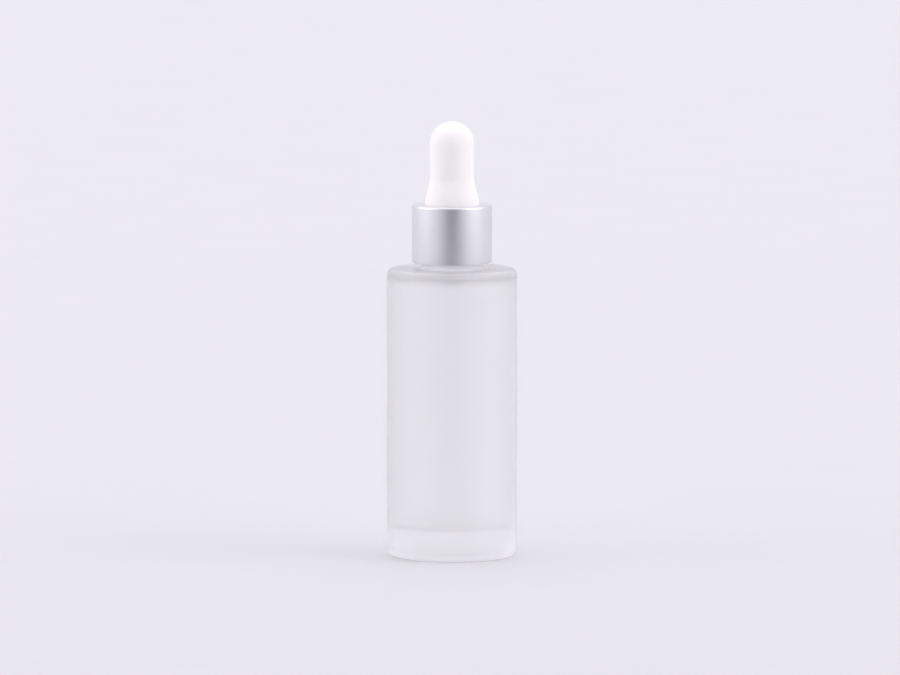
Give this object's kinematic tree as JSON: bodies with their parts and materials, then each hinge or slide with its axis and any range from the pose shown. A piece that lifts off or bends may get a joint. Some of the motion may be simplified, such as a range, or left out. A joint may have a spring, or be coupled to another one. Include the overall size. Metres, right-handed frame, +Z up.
{
  "type": "medicine dropper",
  "caption": "Frosted glass bottle with a flat shoulder and a screw-on dropper: satin aluminium collar, white rubber bulb and glass pipette.",
  "frame": {"origin": "centre of the bottle's base, on the surface it stands on", "axes": "+Z up along the bottle's axis towards the bulb; +X and +Y across the bottle"},
  "size_m": [0.033, 0.033, 0.1102],
  "materials": {
    "frosted_glass": "acid-etched, satin",
    "clear_glass": "clear, fire-polished",
    "white_rubber": "matte",
    "satin_aluminium": "satin anodised",
    "cap_plastic": "moulded",
    "wiper_plastic": "soft, milky",
    "washer_foam": "fine foam"
  },
  "bodies": {
    "bottle": {"bottle": "frosted_glass", "neck_wiper": "wiper_plastic"},
    "seal": {"seal_washer": "washer_foam"},
    "dropper": {"pipette": "clear_glass"},
    "bulb": {"bulb": "white_rubber"},
    "cap": {"screw_cap": "cap_plastic", "collar_shell": "satin_aluminium"}
  },
  "joints": [
    {"name": "pull_out", "type": "slide", "parent": "bottle", "child": "seal", "axis": [0, 0, 1], "range_m": [0, 0.078]},
    {"name": "thread_climb", "type": "slide", "parent": "seal", "child": "dropper", "axis": [0, 0, 1], "range_m": [0, 0.00476]},
    {"name": "cap_turn", "type": "hinge", "parent": "dropper", "child": "cap", "pos_m": [0, 0, 0.0819], "axis": [0, 0, 1], "range_deg": [0, 540]},
    {"name": "bulb_press", "type": "slide", "parent": "dropper", "child": "bulb", "axis": [0, 0, -1], "range_m": [0, 0.005], "stiffness_N_per_m": 800, "deforming": ["bulb"]}
  ],
  "couplings": [
    {"joint": "thread_climb", "follows": "cap_turn", "m_per_rad": 0.00050532}
  ]
}
